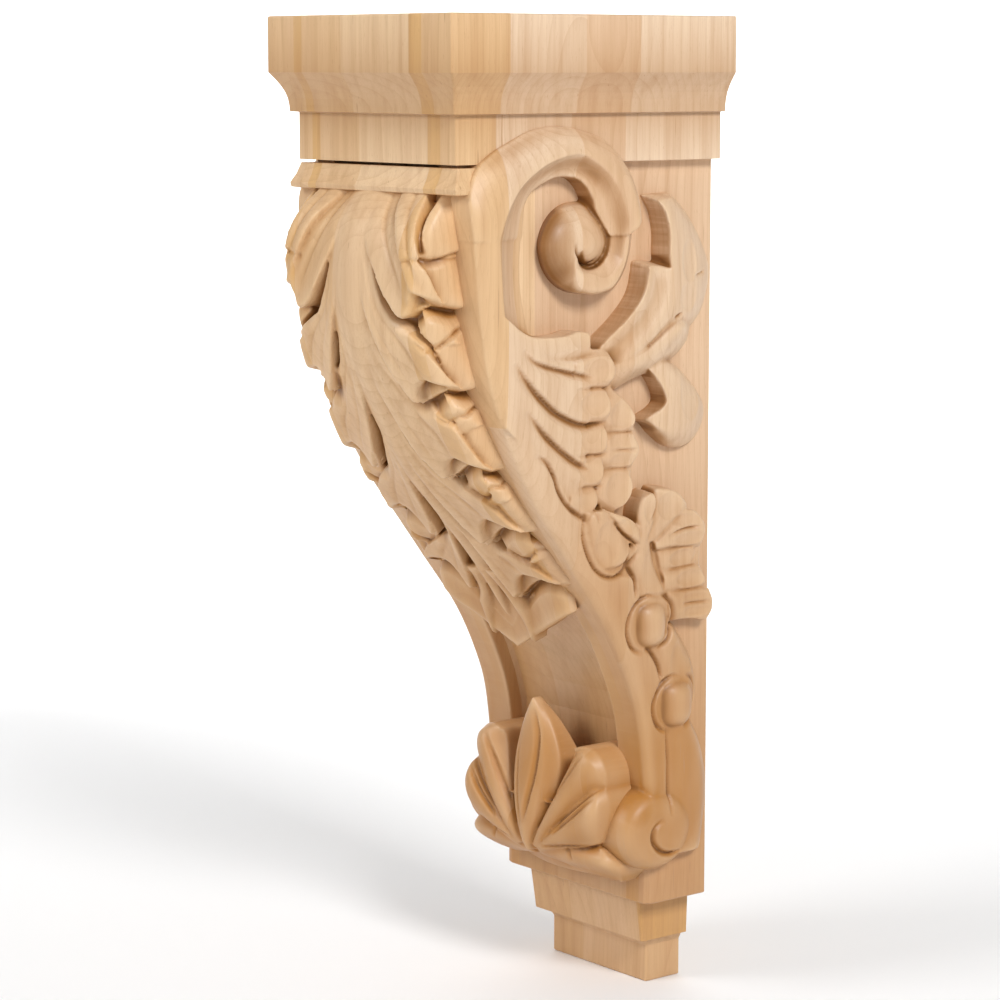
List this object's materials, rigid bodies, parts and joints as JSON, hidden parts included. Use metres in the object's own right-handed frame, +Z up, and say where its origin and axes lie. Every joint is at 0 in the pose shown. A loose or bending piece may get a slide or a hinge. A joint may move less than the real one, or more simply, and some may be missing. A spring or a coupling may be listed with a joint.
{
  "type": "carved wall corbel",
  "caption": "Carved hardwood corbel with S-scroll sides, acanthus leaf front, palmette foot and a moulded cap, fixed to a wall to carry a shelf or counter.",
  "frame": {"origin": "middle of the flat back face, which lies on the wall, at half height", "axes": "+Z up, -Y out of the wall towards the carved front, +X to the right of someone who faces the front of the corbel"},
  "size_m": [0.1699, 0.2083, 0.559],
  "materials": {
    "wood": "pale hardwood boards glued face to face, sanded, clear satin finish"
  },
  "bodies": {
    "root": {"corbel": "wood"}
  },
  "joints": []
}
